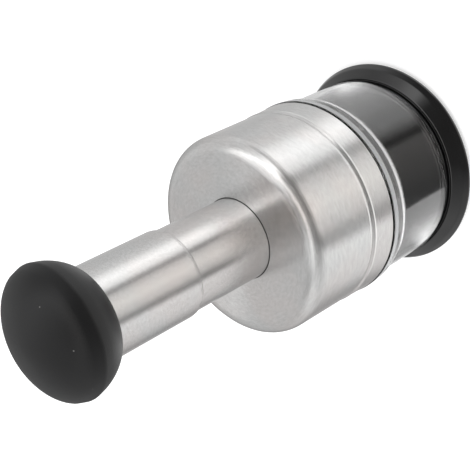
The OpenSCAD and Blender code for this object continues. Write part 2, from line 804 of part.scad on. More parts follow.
// Strip along the zigzag: t thick, from z0 to z1, ground to an edge over the height bev
module zigzag_strip(t, z0, z1, bev) {
    last = len(zig) - 1;
    pts = [for (i = [0:last])
        let (o = mitre(i) * t / 2, p = zig[i])
            each [[p[0] + o[0], p[1] + o[1], z1], [p[0] - o[0], p[1] - o[1], z1],
                  [p[0] - o[0], p[1] - o[1], z0 + bev], [p[0], p[1], z0],
                  [p[0] + o[0], p[1] + o[1], z0 + bev]]];
    faces = concat(
        [for (i = [0:last - 1], k = [0:4])
            let (a = 5 * i + k, b = 5 * i + (k + 1) % 5)
                each [[a, b, b + 5], [a, b + 5, a + 5]]],
        [[0, 4, 3], [0, 3, 2], [0, 2, 1]],
        [[5 * last, 5 * last + 1, 5 * last + 2], [5 * last, 5 * last + 2, 5 * last + 3],
         [5 * last, 5 * last + 3, 5 * last + 4]]);
    polyhedron(points = pts, faces = faces);
}

module zigzag_outline(t) {
    last = len(zig) - 1;
    polygon(concat([for (i = [0:last]) zig[i] + mitre(i) * t / 2],
                   [for (i = [last:-1:0]) zig[i] - mitre(i) * t / 2]));
}

module zigzag_blade() {
    color([0.85, 0.85, 0.86])
        zigzag_strip(blade_t, blade_low, blade_top, bevel_h);
}

// Carrier: disc with windows, hub for the rod and a groove that the blade seats in
module blade_carrier() {
    color([0.88, 0.88, 0.86])
        difference() {
            union() {
                translate([0, 0, carrier_low])
                    cylinder(r = carrier_r, h = carrier_t);
                translate([0, 0, carrier_low])
                    cylinder(r = hub_r, h = hub_top - carrier_low);
            }
            translate([0, 0, rod_low])
                cylinder(r = journal_r + fit_gap, h = hub_top);
            translate([0, 0, carrier_low - 1])
                cylinder(r = hub_screw_r + fit_gap, h = hub_top);
            for (side = [90, 270], i = [-1:1])
                rotate(side + i * window_step)
                    translate([carrier_r - window_d / 2 - window_rim, 0, carrier_low - 1])
                        cylinder(r = window_d / 2, h = carrier_t + 2);
            translate([0, 0, carrier_low - 1])
                linear_extrude(blade_seat + fit_gap + 1)
                    zigzag_outline(blade_t + 2 * fit_gap);
        }
}

// Screw that draws the carrier up to the rod
module hub_screw() {
    color([0.7, 0.7, 0.7])
        difference() {
            union() {
                translate([0, 0, carrier_low - hub_head_h])
                    cylinder(r = hub_head_d / 2, h = hub_head_h, $fn = 48);
                translate([0, 0, carrier_low - eps])
                    cylinder(r = hub_screw_r - fit_gap - 0.05, h = rod_low + hub_screw_in - carrier_low, $fn = 32);
            }
            for (a = [0, 90])
                rotate(a)
                    translate([0, 0, carrier_low - hub_head_h])
                        cube([hub_head_d * 0.6, 0.9, 1.8], center = true);
        }
}

base_cup();
foot_ring();
chopping_mat();
clear_guard();
joint_seal();
steel_housing();
bell_liner();
lock_ring();
guide_tube();
tube_seal();
shaft_bush();
index_nut();
nut_cover();
cover_screws();
spring_seat();
stop_bumper();
press_sleeve();
knob_core();
knob_grip();
pocket_lid();
return_spring();
drive_rod();
thrust_washer();
rod_clip();
blade_carrier();
zigzag_blade();
hub_screw();
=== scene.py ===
"""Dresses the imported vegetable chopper: turned and bent pieces, procedural finishes and a plain studio.

Lengths in the property groups are real lengths. Outlines are written in millimetres, as (radius, height,
rounding) corners, and every piece is scaled to metres once, when its mesh is finished.
"""

import json
import math
from types import SimpleNamespace

import bmesh
import bpy
from bpy.props import FloatProperty, FloatVectorProperty, IntProperty, PointerProperty
from mathutils import Matrix, Vector

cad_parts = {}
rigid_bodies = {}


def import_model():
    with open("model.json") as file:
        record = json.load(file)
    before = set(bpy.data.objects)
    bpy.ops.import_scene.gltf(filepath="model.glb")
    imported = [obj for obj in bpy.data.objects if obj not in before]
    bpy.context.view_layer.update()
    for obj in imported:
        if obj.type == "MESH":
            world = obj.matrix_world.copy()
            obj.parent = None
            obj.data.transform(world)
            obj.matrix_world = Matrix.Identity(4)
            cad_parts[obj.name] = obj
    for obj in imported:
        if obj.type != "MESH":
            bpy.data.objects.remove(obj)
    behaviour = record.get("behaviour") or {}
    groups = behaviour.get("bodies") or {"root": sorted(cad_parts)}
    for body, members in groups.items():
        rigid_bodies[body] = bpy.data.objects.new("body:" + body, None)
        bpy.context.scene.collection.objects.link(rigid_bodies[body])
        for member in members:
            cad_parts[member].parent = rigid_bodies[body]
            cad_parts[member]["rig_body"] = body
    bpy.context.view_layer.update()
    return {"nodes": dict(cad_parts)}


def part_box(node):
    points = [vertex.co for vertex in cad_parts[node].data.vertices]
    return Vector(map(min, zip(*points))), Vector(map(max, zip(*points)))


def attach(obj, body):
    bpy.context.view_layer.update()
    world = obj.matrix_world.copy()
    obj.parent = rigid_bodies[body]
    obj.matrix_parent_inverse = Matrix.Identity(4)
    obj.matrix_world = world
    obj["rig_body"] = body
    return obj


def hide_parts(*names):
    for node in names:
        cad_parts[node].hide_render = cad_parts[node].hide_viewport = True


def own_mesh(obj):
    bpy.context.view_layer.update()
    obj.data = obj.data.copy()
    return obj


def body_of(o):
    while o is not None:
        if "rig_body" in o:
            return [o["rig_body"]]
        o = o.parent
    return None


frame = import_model()

bl_info = {
    "name": "Vegetable chopper",
    "version": (1, 0, 0),
    "blender": (4, 5, 0),
    "location": "View3D > Sidebar > Chopper",
    "description": "Models the chopper's visible pieces round its packed frame and sets its finishes and studio",
    "category": "Object",
}

MM = 0.001
SUPPORT = 0.22  # millimetres from a corner to the support point beside it
STEP_ANGLE = 11  # degrees of turn for each step of a rounding
MERGE = 0.002  # millimetres within which points are merged
PATTERN = {1: 0.3, 2: 0.7}  # Map Range's From Min and From Max, round nearly all values of a noise texture


def linear(code):
    """Linear colour of an sRGB hex code."""
    parts = [int(code[i:i + 2], 16) / 255 for i in (0, 2, 4)]
    return tuple(c / 12.92 if c <= 0.04045 else ((c + 0.055) / 1.055) ** 2.4 for c in parts)


def span(cad_node):
    """Outer radius, underside and top of a round CAD node, in millimetres."""
    low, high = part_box(cad_node)
    return SimpleNamespace(r=max(high.x, -low.x) / MM, low=low.z / MM, top=high.z / MM)


def length(label, note, value):
    """A length property; its default is given in millimetres."""
    return FloatProperty(name=label, description=note, default=value * MM, min=0, unit="LENGTH", precision=5)


def colour(label, note, code):
    """A colour property; its default is given as an sRGB hex code."""
    return FloatVectorProperty(name=label, description=note, default=linear(code), min=0, max=1, subtype="COLOR")


class ChopperSizes(bpy.types.PropertyGroup):
    """Roundings, walls and steps that the visible pieces are made with."""

    rim_round: length("Rim rounding", "Roundness of the base's foot rim", 2.56)
    neck_r: length("Neck radius", "Radius of the base's neck under the guard", 44.8)
    neck_top: length("Neck height", "Height of the shoulder that the guard stands on", 13.9)
    cup_r: length("Cup radius", "Outer radius of the inner cup", 43.2)
    cup_wall: length("Cup wall", "Wall of the inner cup", 1.5)
    guard_wall: length("Guard wall", "Wall of the clear guard", 2.0)
    guard_edge: length("Guard edge", "Rounding at the guard's lower edge", 0.9)
    collar_band: length("Collar band", "Height of the collar's straight band", 5.3)
    collar_sweep: length("Collar sweep", "Height of the curve from wall to collar", 6.2)
    sheet: length("Housing sheet", "Thickness of the drawn housing", 0.9)
    shoulder: length("Shoulder radius", "Radius of the housing's shoulder", 6.3)
    dish: length("Dish", "Drop of the housing's top from its crown to the tube", 1.6)
    groove_depth: length("Groove depth", "Depth of the rolled groove", 0.35)
    tube_wall: length("Tube wall", "Wall of the guide tube", 0.8)
    sleeve_wall: length("Sleeve wall", "Wall of the sliding sleeve", 0.75)
    wire: length("Spring wire", "Wire of the return spring", 1.8)
    blade: length("Blade", "Thickness of the blade strip", 1.0)
    ground: length("Ground edge", "Height of the blade's ground edge", 2.4)
    round_steps: IntProperty(name="Steps round", description="Faces round each turned piece", default=180,
                             min=24, max=360)


class ChopperColours(bpy.types.PropertyGroup):
    """Colours of the finishes."""

    steel: colour("Brushed steel", "Housing, tube and sleeve", "C8C7C6")
    bright: colour("Bright steel", "Blade, rod, spring and screws", "CFCECB")
    brass: colour("Nut", "Bearing bronze of the index nut", "B08D4A")
    black: colour("Gloss black", "Base cup", "060607")
    clear: colour("Clear guard", "Tint of the clear guard", "F7F7F7")
    # painted highlight: near-white colour of the line of light on the collar's sweep
    frost: colour("Frosted band", "Satin band round the clear collar", "C9CACB")
    highlight_line: colour("Painted highlight line", "Painted highlight line on the collar's sweep", "F6F6F6")
    rubber: colour("Knob rubber", "Soft rubber of the knob", "101011")
    seal: colour("Seal rubber", "Seals and foot ring", "0C0C0D")
    white: colour("White plastic", "Carrier, liner, bush and mat", "D9D9D4")
    grey: colour("Grey plastic", "Lock ring and the knob's core", "55585A")
    floor: colour("Floor", "Pale floor of the studio", "E6E6E6")


# ---------------------------------------------------------------- modelling


def in_mm(context):
    """The sizes in millimetres, under their own names."""
    sizes = context.scene.chopper_sizes
    return SimpleNamespace(**{k: getattr(sizes, k) / MM for k in sizes.__annotations__ if k != "round_steps"})


def outline(bm, corners, closed, support):
    """Draws an outline in the XZ plane, rounds its corners and sets support points beside them, so that
    smooth shading stays flat on the long faces."""
    verts = [bm.verts.new((c[0], 0.0, c[1])) for c in corners]
    count = len(verts)
    for i in range(count if closed else count - 1):
        bm.edges.new((verts[i], verts[(i + 1) % count]))
    for i, corner in enumerate(corners):
        if len(corner) < 3 or not corner[2]:
            continue
        here = Vector(corner[:2])
        before, after = Vector(corners[i - 1][:2]), Vector(corners[(i + 1) % count][:2])
        turn = (here - before).angle(after - here)
        bmesh.ops.bevel(bm, geom=[verts[i]], affect="VERTICES", offset=corner[2] * math.tan(turn / 2),
                        offset_type="OFFSET", segments=max(2, round(math.degrees(turn) / STEP_ANGLE)), profile=0.5,
                        material=-1)
    bmesh.ops.remove_doubles(bm, verts=bm.verts[:], dist=2 * MERGE)
    if support:
        for edge in bm.edges[:]:
            long = edge.calc_length()
            if long > 5 * support:
                edge, _ = bmesh.utils.edge_split(edge, edge.verts[0], support / long)
                rest = max((e for v in edge.verts for e in v.link_edges), key=lambda e: e.calc_length())
                far = max(rest.verts, key=lambda v: (v.co - edge.verts[0].co).length)
                bmesh.utils.edge_split(rest, far, support / rest.calc_length())


def turned(corners, closed=True, steps=None, start=0.0, support=SUPPORT):
    """A bmesh of an outline spun once about Z, from start degrees."""
    bm = bmesh.new()
    outline(bm, corners, closed, support)
    bmesh.ops.rotate(bm, verts=bm.verts[:], matrix=Matrix.Rotation(math.radians(start), 3, "Z"))
    bmesh.ops.spin(bm, geom=bm.verts[:] + bm.edges[:], axis=(0, 0, 1), angle=math.tau,
                   steps=steps or bpy.context.scene.chopper_sizes.round_steps, use_merge=True)
    bmesh.ops.remove_doubles(bm, verts=bm.verts[:], dist=MERGE)
    return bm


def joined(bm, other):
    """Adds another bmesh, as a shell of its own with its faces outwards, to the first."""
    held = bpy.data.meshes.new("held")
    bmesh.ops.recalc_face_normals(other, faces=other.faces[:])
    other.to_mesh(held)
    other.free()
    bm.from_mesh(held)
    bpy.data.meshes.remove(held)


def moved_verts(geometry):
    """The vertices among what an extrude gives back."""
    return [v for v in geometry if isinstance(v, bmesh.types.BMVert)]


def sweep(low, high, count=14):
    """Smooth S from one (radius, height) to another, upright at both ends."""
    return [(low[0] + (high[0] - low[0]) * (1 - math.cos(math.pi * i / count)) / 2,
             low[1] + (high[1] - low[1]) * i / count) for i in range(count + 1)]


def finished(bm, name, material, cad_node, sharp=38):
    """Turns a bmesh in millimetres into the piece that stands for a CAD node, on that node's body."""
    bmesh.ops.recalc_face_normals(bm, faces=bm.faces[:])
    bmesh.ops.scale(bm, vec=(MM, MM, MM), verts=bm.verts[:])
    mesh = bpy.data.meshes.new(name)
    bm.to_mesh(mesh)
    bm.free()
    if not mesh.polygons:
        raise RuntimeError(f"{name} has no faces")
    mesh.shade_smooth()
    mesh.set_sharp_from_angle(angle=math.radians(sharp))
    mesh.materials.append(material)
    piece = bpy.data.objects.new(name, mesh)
    bpy.context.scene.collection.objects.link(piece)
    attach(piece, body_of(frame["nodes"][cad_node])[0])
    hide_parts(cad_node)
    return piece


def finish_node(cad_node, material):
    """Gives a CAD node that keeps its own mesh its finish."""
    held = frame["nodes"][cad_node]
    if not held.material_slots:
        raise RuntimeError(f"{cad_node} has no material slot")
    for slot in held.material_slots:
        slot.material = material


# ---------------------------------------------------------------- finishes


def add(tree, kind, inputs=None, **settings):
    """Adds a node; settings are its own values, inputs its sockets' values or the sockets that feed them."""
    made = tree.nodes.new(kind)
    for key, value in settings.items():
        setattr(made, key, value)
    for key, value in (inputs or {}).items():
        if isinstance(value, bpy.types.NodeSocket):
            tree.links.new(value, made.inputs[key])
        else:
            made.inputs[key].default_value = value
    return made


def surface(name, **values):
    """A material with one Principled shader; values are its sockets, with underscores for the spaces."""
    made = bpy.data.materials.new(name)
    made.use_nodes = True
    shader = made.node_tree.nodes["Principled BSDF"]
    for key, value in values.items():
        shader.inputs[key.replace("_", " ")].default_value = value
    return made, made.node_tree, shader


def feed(tree, shader, **sources):
    """Links sources to the shader's sockets, which are named as in surface."""
    for key, source in sources.items():
        tree.links.new(source, shader.inputs[key.replace("_", " ")])


def mottled(tree, pattern, tint, shades, rough, roughs):
    """Base colour and roughness that follow a pattern, each between two shares of its own value."""
    shade = add(tree, "ShaderNodeMapRange", {0: pattern, **PATTERN, 3: shades[0], 4: shades[1]})
    tone = add(tree, "ShaderNodeVectorMath", {0: tint, 3: shade.outputs[0]}, operation="SCALE")
    varied = add(tree, "ShaderNodeMapRange", {0: pattern, **PATTERN, 3: rough * roughs[0], 4: rough * roughs[1]})
    return {"Base_Color": tone.outputs[0], "Roughness": varied.outputs[0]}


def lathe_marks(tree, spacing):
    """Fine rings round Z, spacing metres apart, that fade in and out along the turn: the marks of a belt
    that ran round the piece while it was spun."""
    streak = 14.0  # marks in a radian, so one is some 4 degrees long
    place = add(tree, "ShaderNodeTexCoord").outputs["Object"]
    xyz = add(tree, "ShaderNodeSeparateXYZ", {0: place})
    flat = add(tree, "ShaderNodeCombineXYZ", {0: xyz.outputs[0], 1: xyz.outputs[1]})
    radius = add(tree, "ShaderNodeVectorMath", {0: flat.outputs[0]}, operation="LENGTH")
    turn = add(tree, "ShaderNodeVectorMath", {0: flat.outputs[0]}, operation="NORMALIZE")
    spread = add(tree, "ShaderNodeVectorMath", {0: turn.outputs[0], 3: streak}, operation="SCALE")
    # height less radius, so that the rings go on over the shoulder and across the flat top
    across = add(tree, "ShaderNodeMath", {0: xyz.outputs[2], 1: radius.outputs["Value"]}, operation="SUBTRACT")
    fine = add(tree, "ShaderNodeMath", {0: across.outputs[0], 1: 1 / spacing}, operation="MULTIPLY")
    along = add(tree, "ShaderNodeCombineXYZ", {2: fine.outputs[0]})
    at = add(tree, "ShaderNodeVectorMath", {0: spread.outputs[0], 1: along.outputs[0]}, operation="ADD")
    return add(tree, "ShaderNodeTexNoise", {"Vector": at.outputs[0], "Scale": 1.0, "Detail": 3.0,
                                            "Roughness": 0.6}).outputs["Fac"]


def brushed_steel(name, tint, rough, grain):
    """Stainless steel, drawn and belt-brushed round its axis. The rings draw each lamp out into a band along
    the piece; real grit is 0.1 mm, drawn here at grain metres so that it shows in the picture."""
    made, tree, shader = surface(name, Metallic=1.0, Roughness=rough, Anisotropic=0.93, Anisotropic_Rotation=0.25)
    marks = lathe_marks(tree, grain)
    # painted reflection: faint warm and cool clouds, some 25 mm across, painted into the steel's colour to stand
    # for warm and cool reflections in it
    place = add(tree, "ShaderNodeTexCoord").outputs["Object"]
    cloud = add(tree, "ShaderNodeTexNoise", {"Vector": place, "Scale": 1 / 0.025, "Detail": 2.0}).outputs["Fac"]
    warm = add(tree, "ShaderNodeMapRange", {0: cloud, 1: 0.38, 2: 0.62, 3: 0.0, 4: 1.0})
    cool_steel, warm_steel = ([*(value * share for value, share in zip(tint, shares)), 1.0]
                              for shares in ((0.99, 1.0, 1.004), (1.018, 0.994, 0.988)))
    reflection_cast = add(tree, "ShaderNodeMix", {0: warm.outputs[0], 6: cool_steel, 7: warm_steel}, data_type="RGBA")
    tangent = add(tree, "ShaderNodeTangent", direction_type="RADIAL", axis="Z")
    bump = add(tree, "ShaderNodeBump", {"Strength": 0.03, "Distance": 0.00002, "Height": marks})
    feed(tree, shader, **mottled(tree, marks, reflection_cast.outputs[2], (0.93, 1.05), rough, (0.93, 1.07)),
         Tangent=tangent.outputs[0], Normal=bump.outputs[0])
    return made


def machined_steel(name, tint, rough, grain):
    """Metal as it leaves the mill or the lathe: bright, with faint marks round Z, grain metres apart and
    some 17 mm long."""
    made, tree, shader = surface(name, Metallic=1.0)
    place = add(tree, "ShaderNodeTexCoord").outputs["Object"]
    at = add(tree, "ShaderNodeMapping", {"Vector": place, "Scale": (60, 60, 1 / grain)})
    marks = add(tree, "ShaderNodeTexNoise", {"Vector": at.outputs[0], "Scale": 1.0, "Detail": 3.0}).outputs["Fac"]
    bump = add(tree, "ShaderNodeBump", {"Strength": 0.1, "Distance": 0.00005, "Height": marks})
    feed(tree, shader, **mottled(tree, marks, tuple(tint), (0.93, 1.04), rough, (0.8, 1.25)),
         Normal=bump.outputs[0])
    return made


def moulded_plastic(name, tint, rough, ripple, depth=0.00003):
    """Injection-moulded plastic: an even colour with the faint waviness that the melt leaves, ripple metres
    across and depth metres deep, and slightly uneven gloss, in patches of 18 mm, where it is handled."""
    made, tree, shader = surface(name, IOR=1.54)
    place = add(tree, "ShaderNodeTexCoord").outputs["Object"]
    wave = add(tree, "ShaderNodeTexNoise", {"Vector": place, "Scale": 1 / ripple, "Detail": 2.0}).outputs["Fac"]
    wear = add(tree, "ShaderNodeTexNoise", {"Vector": place, "Scale": 55.0, "Detail": 4.0}).outputs["Fac"]
    bump = add(tree, "ShaderNodeBump", {"Strength": 0.25, "Distance": depth, "Height": wave})
    feed(tree, shader, **mottled(tree, wear, tuple(tint), (0.94, 1.05), rough, (0.85, 1.2)),
         Normal=bump.outputs[0])
    return made


def soft_rubber(name, tint, rough, grain, specks):
    """Moulded thermoplastic rubber with a fine eroded skin: satin, in soft clouds of 22 mm, and with the odd
    fleck of dust that such a skin holds. The skin's grain is 0.15 mm, drawn coarser, at grain metres."""
    made, tree, shader = surface(name, IOR=1.5, Specular_IOR_Level=0.28)
    place = add(tree, "ShaderNodeTexCoord").outputs["Object"]
    skin = add(tree, "ShaderNodeTexNoise", {"Vector": place, "Scale": 1 / grain, "Detail": 2.0}).outputs["Fac"]
    cloud = add(tree, "ShaderNodeTexNoise", {"Vector": place, "Scale": 45.0, "Detail": 3.0}).outputs["Fac"]
    looks = mottled(tree, cloud, tuple(tint), (0.88, 1.12), rough, (0.92, 1.1))
    # flecks of dust: small dots, one in a few cells of 4 mm
    cells = add(tree, "ShaderNodeTexVoronoi", {"Vector": place, "Scale": 1 / 0.004})
    pick = add(tree, "ShaderNodeSeparateColor", {0: cells.outputs["Color"]})
    near = add(tree, "ShaderNodeMapRange", {0: cells.outputs["Distance"], 1: 0.06, 2: 0.1, 3: specks, 4: 0.0})
    few = add(tree, "ShaderNodeMath", {0: pick.outputs[0], 1: 0.7}, operation="GREATER_THAN")
    dust = add(tree, "ShaderNodeMath", {0: near.outputs[0], 1: few.outputs[0]}, operation="MULTIPLY")
    dusted = add(tree, "ShaderNodeMix", {0: dust.outputs[0], 6: looks["Base_Color"], 7: (0.35, 0.34, 0.33, 1)},
                 data_type="RGBA")
    bump = add(tree, "ShaderNodeBump", {"Strength": 0.35, "Distance": 0.00006, "Height": skin})
    feed(tree, shader, Base_Color=dusted.outputs[2], Roughness=looks["Roughness"], Normal=bump.outputs[0])
    return made


def clear_plastic(name, tint):
    """Clear styrene acrylonitrile, injection moulded and polished: glass-like, with hair scratches from
    washing up, some 1 mm apart and 11 mm long, that only show where a lamp grazes them."""
    made, tree, shader = surface(name, IOR=1.57, Transmission_Weight=1.0, Base_Color=(*tint, 1.0))
    place = add(tree, "ShaderNodeTexCoord").outputs["Object"]
    at = add(tree, "ShaderNodeMapping", {"Vector": place, "Scale": (90, 90, 900)})
    hair = add(tree, "ShaderNodeTexNoise", {"Vector": at.outputs[0], "Scale": 1.0, "Detail": 4.0}).outputs["Fac"]
    varied = add(tree, "ShaderNodeMapRange", {0: hair, 1: 0.45, 2: 0.75, 3: 0.01, 4: 0.03})
    feed(tree, shader, Roughness=varied.outputs[0])
    return made


def frosted_plastic(name, tint, rough, through):
    """The same clear plastic where the mould was spark-eroded: a satin, milky band that scatters light and
    reads as pale grey, with the mould's frost on it. Its grain is 0.05 mm, drawn at 0.6 mm."""
    made, tree, shader = surface(name, IOR=1.57, Transmission_Weight=through)
    place = add(tree, "ShaderNodeTexCoord").outputs["Object"]
    frost = add(tree, "ShaderNodeTexNoise", {"Vector": place, "Scale": 1600.0, "Detail": 2.0}).outputs["Fac"]
    feed(tree, shader, **mottled(tree, frost, tuple(tint), (0.95, 1.03), rough, (0.85, 1.15)))
    return made


# ---------------------------------------------------------------- pieces


class CHOPPER_OT_base(bpy.types.Operator):
    """Base cup with its rubber foot ring and chopping mat"""

    bl_idname = "chopper.base"
    bl_label = "Base cup"

    def execute(self, context):
        s, c = in_mm(context), context.scene.chopper_colours
        cup, foot, mat = span("base_cup"), span("foot_ring"), span("chopping_mat")
        rim_low, floor_low, floor_top, inner = cup.low, 1.6, foot.top + 1.0, s.cup_r - s.cup_wall
        neck_low = s.neck_top - 4.3
        flare_r, flare_top = 45.65, 10.35  # a shallow step runs from the neck to here
        knee_r, knee = cup.r - 1.5, 6.0  # where the flare turns down into the rim
        ring, play = foot.r - 4.0, 0.02
        seat_in, seat_out, seat_top = ring - play, foot.r + play, foot.top + play  # of the foot ring
        bm = turned([
            (0, floor_top), (inner, floor_top, 0.8), (inner, cup.top, 0.5), (s.cup_r, cup.top, 0.6),
            (s.cup_r, s.neck_top, 0.25), (s.neck_r, s.neck_top, 0.3), (s.neck_r, neck_low, 0.3),
            (s.neck_r + 0.5, neck_low - 0.1, 0.3), (flare_r, flare_top, 0.7), (knee_r, knee, 3.0),
            (cup.r, rim_low + 2.6, 1.6), (cup.r, rim_low, s.rim_round), (seat_out, rim_low, 0.1),
            (seat_out, seat_top), (seat_in, seat_top), (seat_in, rim_low, 0.1), (seat_in - 1.18, rim_low, 0.3),
            (seat_in - 1.98, floor_low, 0.3), (0, floor_low)], closed=False)
        # acrylonitrile butadiene styrene from a polished mould: deep black, and gloss like a mirror
        black = moulded_plastic("gloss_black_abs_moulded", c.black, 0.1, 0.012)
        finished(bm, "base_moulding", black, "base_cup")
        # dense seal rubber: dull black, without a clear highlight
        rubber = soft_rubber("seal_rubber_moulded", c.seal, 0.62, 0.0005, 0.15)
        bm = turned([(ring, 0, 0.4), (foot.r, 0, 0.4), (foot.r, foot.top, 0.1), (ring, foot.top, 0.1)])
        finished(bm, "foot_rubber_ring", rubber, "foot_ring")
        # polyethylene, moulded with a pebbled face: waxy off-white
        white = moulded_plastic("cutting_mat_polyethylene", c.white, 0.45, 0.0016, 0.00008)
        bm = turned([(0, mat.low), (mat.r, mat.low, 0.4), (mat.r, mat.top, 0.35), (0, mat.top)], closed=False)
        finished(bm, "cutting_mat", white, "chopping_mat")
        return {"FINISHED"}


class CHOPPER_OT_guard(bpy.types.Operator):
    """Clear guard with its collar, bayonet lugs and the dark seal on it"""

    bl_idname = "chopper.guard"
    bl_label = "Clear guard"

    def execute(self, context):
        s, c = in_mm(context), context.scene.chopper_colours
        guard, seal, cup_top = span("clear_guard"), span("joint_seal"), span("base_cup").top
        outer = guard.r - 2.3
        inner = outer - s.guard_wall
        neck, bore = outer - 2.5, inner - 2.3
        collar_top = seal.low
        corner = collar_top - s.collar_band
        frost_low, frost_top = corner + 2.1, collar_top - 0.35
        line_low, line_top = corner - 4.8, corner - 1.9  # of the painted highlight line on the sweep
        lug_low, lug_top, lug_r = 61.5, 63.5, outer - 1.2
        lug_half, lug_turn, step = 11, 120, 2  # degrees
        bm = turned([
            (inner, guard.low, 0.3), (outer, guard.low, s.guard_edge)]
            + sweep((outer, corner - s.collar_sweep), (outer + 1.8, corner - 0.6))
            + [(outer + 1.9, corner, 0.25), (outer + 2.1, frost_low), (guard.r, collar_top, 0.4),
               (neck, collar_top), (neck, lug_low), (neck, lug_top), (neck, guard.top, 0.4),
               (bore, guard.top, 0.2), (bore, cup_top + 3, 0.5), (inner, cup_top + 1.5, 0.5)],
            steps=360 // step, start=step / 2)
        lug = []
        for face in bm.faces:
            middle = face.calc_center_median()
            turn = math.degrees(middle.xy.angle_signed(Vector((1, 0))))
            if (lug_low < middle.z < lug_top and abs(middle.xy.length - neck) < 0.1
                    and abs((turn + lug_turn / 2) % lug_turn - lug_turn / 2) < lug_half):
                lug.append(face)
        raised = bmesh.ops.extrude_face_region(bm, geom=lug)["geom"]
        bmesh.ops.delete(bm, geom=lug, context="FACES_ONLY")
        bmesh.ops.scale(bm, vec=(lug_r / neck, lug_r / neck, 1), verts=moved_verts(raised))
        shell = finished(bm, "guard_shell", clear_plastic("clear_san_moulded", c.clear), "clear_guard", sharp=30)
        shell.data.materials.append(frosted_plastic("frosted_san_moulded", c.frost, 0.32, 0.25))
        # painted highlight: a thin near-white line round the collar's sweep, standing for the light that the clear
        # plastic gathers there
        shell.data.materials.append(frosted_plastic("painted_highlight_line", c.highlight_line, 0.2, 0.1))
        for face in shell.data.polygons:
            proud, height = face.center.xy.length / MM - outer, face.center.z / MM
            if proud > 1.85 and frost_low < height < frost_top:
                face.material_index = 1
            elif 0.25 < proud < 1.78 and line_low < height < line_top:
                # faces on the sweep take the painted highlight
                face.material_index = 2
        rubber = bpy.data.materials["seal_rubber_moulded"]
        bm = turned([(neck + 0.05, seal.low), (seal.r, seal.low, 0.15), (seal.r, seal.top, 0.15),
                     (neck + 0.05, seal.top)])
        finished(bm, "guard_seal", rubber, "joint_seal")
        return {"FINISHED"}


class CHOPPER_OT_housing(bpy.types.Operator):
    """Drawn steel housing with its rolled groove and bead, and the seal round the tube"""

    bl_idname = "chopper.housing"
    bl_label = "Steel housing"

    def execute(self, context):
        s, c = in_mm(context), context.scene.chopper_colours
        bell, lip = span("steel_housing"), span("tube_seal")
        skirt, skirt_top = bell.r, bell.r - 0.55
        wall, wall_top = skirt_top - 0.2, skirt_top - 0.5
        bead, groove = skirt_top + 0.2, bell.low + 11.4
        slope = math.atan(s.dish / (wall_top - s.shoulder - span("guide_tube").r))
        steep = math.tan((math.pi / 2 + slope) / 2)
        hole = 19.22
        # height at which wall and sloping top would meet, so that the rounded shoulder ends at the crown
        tall = bell.top - s.shoulder + s.shoulder * steep
        hole_z = tall - (wall_top - hole) * math.tan(slope)
        t = s.sheet
        inner_tall = tall - t * steep
        # up the skirt, over the bead, into the groove, up the wall and across the top to the hole
        outer = [(skirt, bell.low, 0.3), (skirt_top, groove, 0.4), (bead, groove + 1.1, 0.25),
                 (wall - s.groove_depth, groove + 2.15, 0.15), (wall, groove + 3.9, 0.5),
                 (wall_top, tall, s.shoulder), (hole, hole_z, 0.25)]
        inside = [(hole, hole_z - t / math.cos(slope), 0.1), (wall_top - t, inner_tall, s.shoulder - t),
                  (wall - t, groove + 3.2, 1.2), (wall - s.groove_depth - t, groove + 1.6, 1.3),
                  (skirt_top - t, groove, 1.2), (skirt - t, bell.low, 0.2)]
        steel = brushed_steel("brushed_stainless_housing", c.steel, 0.24, 0.001)
        finished(turned(outer + inside), "housing_shell", steel, "steel_housing")
        rubber = bpy.data.materials["seal_rubber_moulded"]
        flange_top, throat, bore = lip.low + 1.35, hole - 0.05, 19.0
        bm = turned([(bore, lip.low), (lip.r, lip.low, 0.2), (lip.r, flange_top, 0.2), (throat, flange_top),
                     (throat, lip.top - 0.15, 0.12), (bore + 0.02, lip.top, 0.1)])
        finished(bm, "tube_lip_seal", rubber, "tube_seal")
        return {"FINISHED"}


class CHOPPER_OT_tubes(bpy.types.Operator):
    """Fixed guide tube and the sleeve that slides on it"""

    bl_idname = "chopper.tubes"
    bl_label = "Tube and sleeve"

    def execute(self, context):
        s, c = in_mm(context), context.scene.chopper_colours
        tube, sleeve = span("guide_tube"), span("press_sleeve")
        steel = brushed_steel("brushed_stainless_tube", c.steel, 0.24, 0.0009)
        bm = turned([(tube.r - s.tube_wall, tube.low), (tube.r, tube.low), (tube.r, tube.top, 0.3),
                     (tube.r - s.tube_wall, tube.top, 0.2)])
        finished(bm, "fixed_tube", steel, "guide_tube")
        bore, low = sleeve.r - s.sleeve_wall, sleeve.low
        lip_in, lip_out = tube.r + 0.08, tube.r + 0.6  # the lip is swaged in until it runs on the tube
        bm = turned([(lip_in, low, 0.1), (lip_out, low, 0.1), (lip_out + 0.15, low + 0.35, 0.4),
                     (sleeve.r, low + 1.8, 2.0), (sleeve.r, sleeve.top), (bore, sleeve.top),
                     (bore, low + 3.2, 0.5), (lip_in, low + 1.6, 0.5)])
        finished(bm, "sliding_sleeve", steel, "press_sleeve")
        return {"FINISHED"}


